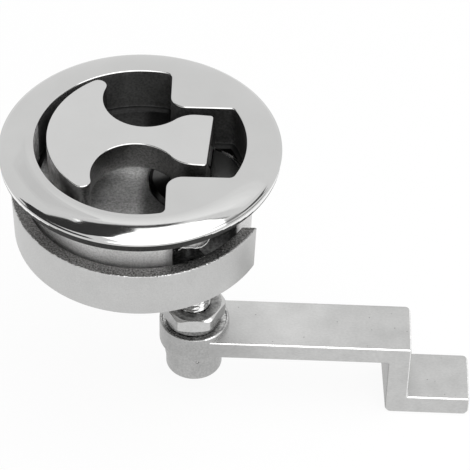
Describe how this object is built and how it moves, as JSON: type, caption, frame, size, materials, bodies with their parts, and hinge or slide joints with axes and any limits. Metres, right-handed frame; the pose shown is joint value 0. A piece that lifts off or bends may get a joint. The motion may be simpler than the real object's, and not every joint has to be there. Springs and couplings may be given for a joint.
{
  "type": "flush pull latch",
  "caption": "Round flush pull latch with a polished flange, T-handle in a keyhole bowl, C-shaped backing ring and a cranked cam arm on a threaded rod.",
  "frame": {"origin": "centre of the flange's underside, on the outer face of the panel that it closes", "axes": "+Z out of the panel through the flange's centre, +X towards the spindle and the foot of the cam arm"},
  "size_m": [0.1349, 0.077, 0.0968],
  "materials": {
    "polished_steel": "mirror polished",
    "cast_steel": "satin, as cast on top",
    "satin_steel": "satin",
    "turned_steel": "turned, bright",
    "bearing_bronze": "machined",
    "nylon": "matt",
    "rubber": "matt"
  },
  "bodies": {
    "housing": {"housing": "polished_steel", "backing_ring": "cast_steel", "ring_screw_front": "turned_steel", "ring_screw_back": "turned_steel", "ring_screw_washer_front": "satin_steel", "ring_screw_washer_back": "satin_steel", "thrust_washer": "nylon", "spindle_seal": "rubber", "spindle_bushing": "bearing_bronze"},
    "spindle": {"spindle_head": "turned_steel", "spindle_spring": "turned_steel", "spring_washer": "satin_steel", "retaining_ring": "turned_steel", "threaded_rod": "turned_steel", "rod_lock_pin": "satin_steel", "jam_nut": "turned_steel", "lock_washer": "satin_steel", "cam_arm": "satin_steel"},
    "handle": {"t_handle": "polished_steel", "pivot_pin": "turned_steel"}
  },
  "joints": [
    {"name": "spindle_turn", "type": "hinge", "parent": "housing", "child": "spindle", "pos_m": [0.0155, 0, -0.0092], "axis": [0, 0, 1], "range_deg": [0, 90]},
    {"name": "handle_lift", "type": "hinge", "parent": "spindle", "child": "handle", "pos_m": [0.0155, 0, -0.0022], "axis": [0.075, 0.9972, 0], "range_deg": [0, 90]}
  ],
  "couplings": [
    {"joint": "spindle_turn", "follows": "handle_lift", "ratio": 1}
  ]
}
